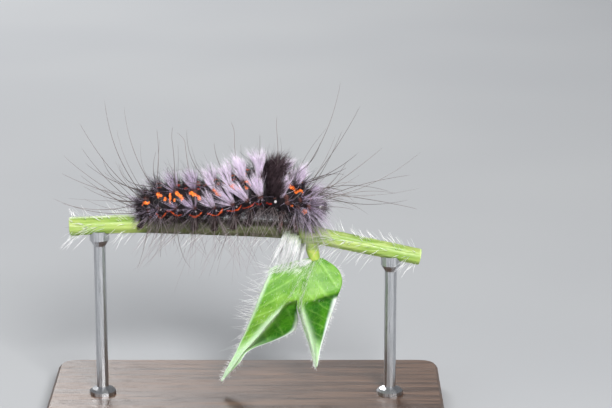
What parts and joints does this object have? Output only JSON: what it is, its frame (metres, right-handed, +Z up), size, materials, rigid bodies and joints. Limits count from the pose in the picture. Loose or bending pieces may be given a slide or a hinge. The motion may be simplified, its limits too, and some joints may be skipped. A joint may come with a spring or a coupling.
{
  "type": "hairy tussock moth larva on a stem perch",
  "caption": "Life-size hairy moth larva walking along a cut green stem with a hanging leaf, held up by a flat base and short rods.",
  "frame": {"origin": "middle of the underside of the stand's base, which is the bottom centre of the whole part", "axes": "+X from the tail to the head along the stem, +Y to the animal's left, +Z up"},
  "size_m": [0.05, 0.027, 0.0355],
  "materials": {
    "coat_dark": "black skin under dark grey hair",
    "coat_pale": "feathery lilac white tufts over black skin",
    "coat_black": "dense brown black brush",
    "head_shell": "glossy black shell",
    "sclerite": "glossy dark brown shell",
    "eye_lens": "polished black",
    "soft_foot": "soft brown skin",
    "stem": "fresh green skin with pale ridges and white hairs",
    "leaf": "satin green blade with pale midribs",
    "stand_wood": "satin dark wood",
    "stand_metal": "satin steel"
  },
  "bodies": {
    "root": {"head": "head_shell", "upper_lip": "sclerite", "jaw_right": "sclerite", "feeler_right": "sclerite", "eye_right": "eye_lens", "jaw_left": "sclerite", "feeler_left": "sclerite", "eye_left": "eye_lens", "thorax_1": "coat_dark", "thorax_2": "coat_dark", "thorax_3": "coat_pale", "abdomen_1": "coat_black", "abdomen_2": "coat_pale", "abdomen_3": "coat_pale", "abdomen_4": "coat_pale", "abdomen_5": "coat_pale", "abdomen_6": "coat_pale", "abdomen_7": "coat_dark", "abdomen_8": "coat_dark", "abdomen_9": "coat_dark", "abdomen_10": "coat_dark", "leg_T1_right": "sclerite", "leg_T1_left": "sclerite", "leg_T2_right": "sclerite", "leg_T2_left": "sclerite", "leg_T3_right": "sclerite", "leg_T3_left": "sclerite", "proleg_A3_right": "soft_foot", "proleg_A3_left": "soft_foot", "proleg_A4_right": "soft_foot", "proleg_A4_left": "soft_foot", "proleg_A5_right": "soft_foot", "proleg_A5_left": "soft_foot", "proleg_A6_right": "soft_foot", "proleg_A6_left": "soft_foot", "proleg_A10_right": "soft_foot", "proleg_A10_left": "soft_foot", "perch_stem": "stem", "perch_stalk": "stem", "perch_leaf": "leaf", "stand_base": "stand_wood", "stand_rod_rear": "stand_metal", "stand_rod_front": "stand_metal"}
  },
  "joints": []
}
